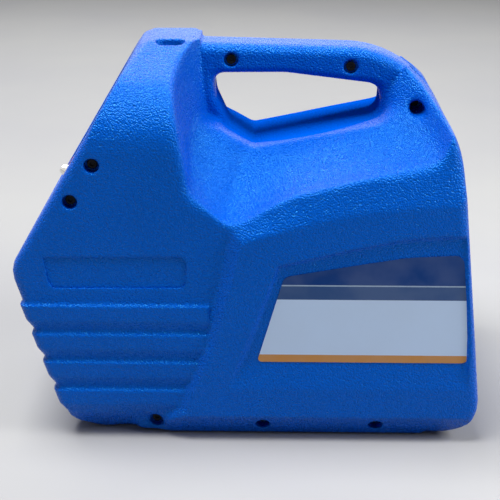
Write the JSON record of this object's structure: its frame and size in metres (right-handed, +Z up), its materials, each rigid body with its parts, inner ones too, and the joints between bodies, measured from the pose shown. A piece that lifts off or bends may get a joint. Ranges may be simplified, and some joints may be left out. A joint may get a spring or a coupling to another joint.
{
  "type": "portable refrigerant recovery unit",
  "caption": "Portable refrigerant recovery pump in a moulded carry case with an integral top handle, a recessed valve and gauge panel, and a compressor, motor, fan and condenser inside.",
  "frame": {"origin": "middle of the bounding box, on the plane under the feet", "axes": "+X to the rear, away from the control panel; +Y to the far side, away from the label; +Z up"},
  "size_m": [0.4026, 0.24, 0.338],
  "materials": {
    "case_blue": "moulded, fine pebble grain",
    "black_steel": "black oxide",
    "plated_steel": "plated",
    "label_film": "smooth film",
    "rubber": "matt",
    "zinc_sheet": "zinc plated",
    "panel_black": "fine grain",
    "gauge_black": "satin",
    "dial_white": "smooth",
    "signal_red": "smooth",
    "knob_blue": "smooth",
    "lens": "clear",
    "nickel_brass": "nickel plated",
    "alloy": "machined",
    "motor_paint": "satin",
    "winding": "varnished",
    "cast_alloy": "as cast",
    "copper": "drawn copper"
  },
  "bodies": {
    "case": {"near_shell": "case_blue", "far_shell": "case_blue", "case_screws": "black_steel", "front_strap_bar": "plated_steel", "rear_strap_bar": "plated_steel", "label_plate": "label_film", "rubber_feet": "rubber", "chassis_tray": "zinc_sheet", "front_panel": "panel_black", "panel_screws": "plated_steel", "inlet_gauge": "gauge_black", "outlet_gauge": "gauge_black", "gauge_dials": "dial_white", "gauge_lenses": "lens", "flare_ports": "nickel_brass", "manifold": "alloy", "pressure_switch": "panel_black", "switch_frame": "panel_black", "reset_housing": "panel_black", "front_grille": "panel_black", "rear_grille": "panel_black", "mains_inlet": "panel_black", "motor_frame": "motor_paint", "stator": "winding", "front_bell": "motor_paint", "rear_bell": "motor_paint", "shaft_bearings": "plated_steel", "motor_cradle": "zinc_sheet", "fan_shroud": "zinc_sheet", "condenser_tube": "copper", "condenser_fins": "alloy", "crankcase": "cast_alloy", "crankcase_cover": "cast_alloy", "cylinder_block": "cast_alloy", "cylinder_head": "alloy", "suction_tube": "copper", "discharge_tube": "copper", "return_tube": "copper", "capacitor": "panel_black", "capacitor_clamp": "zinc_sheet"},
    "shaft_set": {"motor_shaft": "plated_steel", "rotor": "plated_steel", "cooling_fan": "panel_black"},
    "inlet_valve": {"inlet_knob": "knob_blue", "inlet_stem": "plated_steel"},
    "outlet_valve": {"outlet_knob": "signal_red", "outlet_stem": "plated_steel"},
    "selector_valve": {"selector_knob": "panel_black", "selector_stem": "plated_steel"},
    "rocker": {"power_rocker": "signal_red"},
    "reset": {"reset_button": "signal_red"},
    "inlet_pointer": {"inlet_needle": "signal_red"},
    "outlet_pointer": {"outlet_needle": "signal_red"}
  },
  "joints": [
    {"name": "shaft_spin", "type": "hinge", "parent": "case", "child": "shaft_set", "pos_m": [0.065, 0, 0.077], "axis": [1, 0, 0], "continuous": true},
    {"name": "inlet_valve_turn", "type": "hinge", "parent": "case", "child": "inlet_valve", "pos_m": [-0.16458, -0.052, 0.18835], "axis": [-0.8554, 0, 0.518], "range_deg": [0, 180]},
    {"name": "outlet_valve_turn", "type": "hinge", "parent": "case", "child": "outlet_valve", "pos_m": [-0.16458, 0.052, 0.18835], "axis": [-0.8554, 0, 0.518], "range_deg": [0, 180]},
    {"name": "selector_turn", "type": "hinge", "parent": "case", "child": "selector_valve", "pos_m": [-0.14075, 0, 0.2277], "axis": [-0.8554, 0, 0.518], "range_deg": [0, 90]},
    {"name": "rocker_tilt", "type": "hinge", "parent": "case", "child": "rocker", "pos_m": [-0.16269, 0, 0.18954], "axis": [0.518, 0, 0.8554], "range_deg": [0, 16]},
    {"name": "reset_press", "type": "slide", "parent": "case", "child": "reset", "axis": [0.8554, 0, -0.518], "range_m": [0, 0.0025], "stiffness_N_per_m": 600, "springref_m": -0.001},
    {"name": "inlet_pointer_turn", "type": "hinge", "parent": "case", "child": "inlet_pointer", "pos_m": [-0.11382, -0.043, 0.27218], "axis": [0.8554, 0, -0.518], "range_deg": [0, 270], "stiffness_Nm_per_rad": 0.002},
    {"name": "outlet_pointer_turn", "type": "hinge", "parent": "case", "child": "outlet_pointer", "pos_m": [-0.11382, 0.043, 0.27218], "axis": [0.8554, 0, -0.518], "range_deg": [0, 270], "stiffness_Nm_per_rad": 0.002}
  ]
}
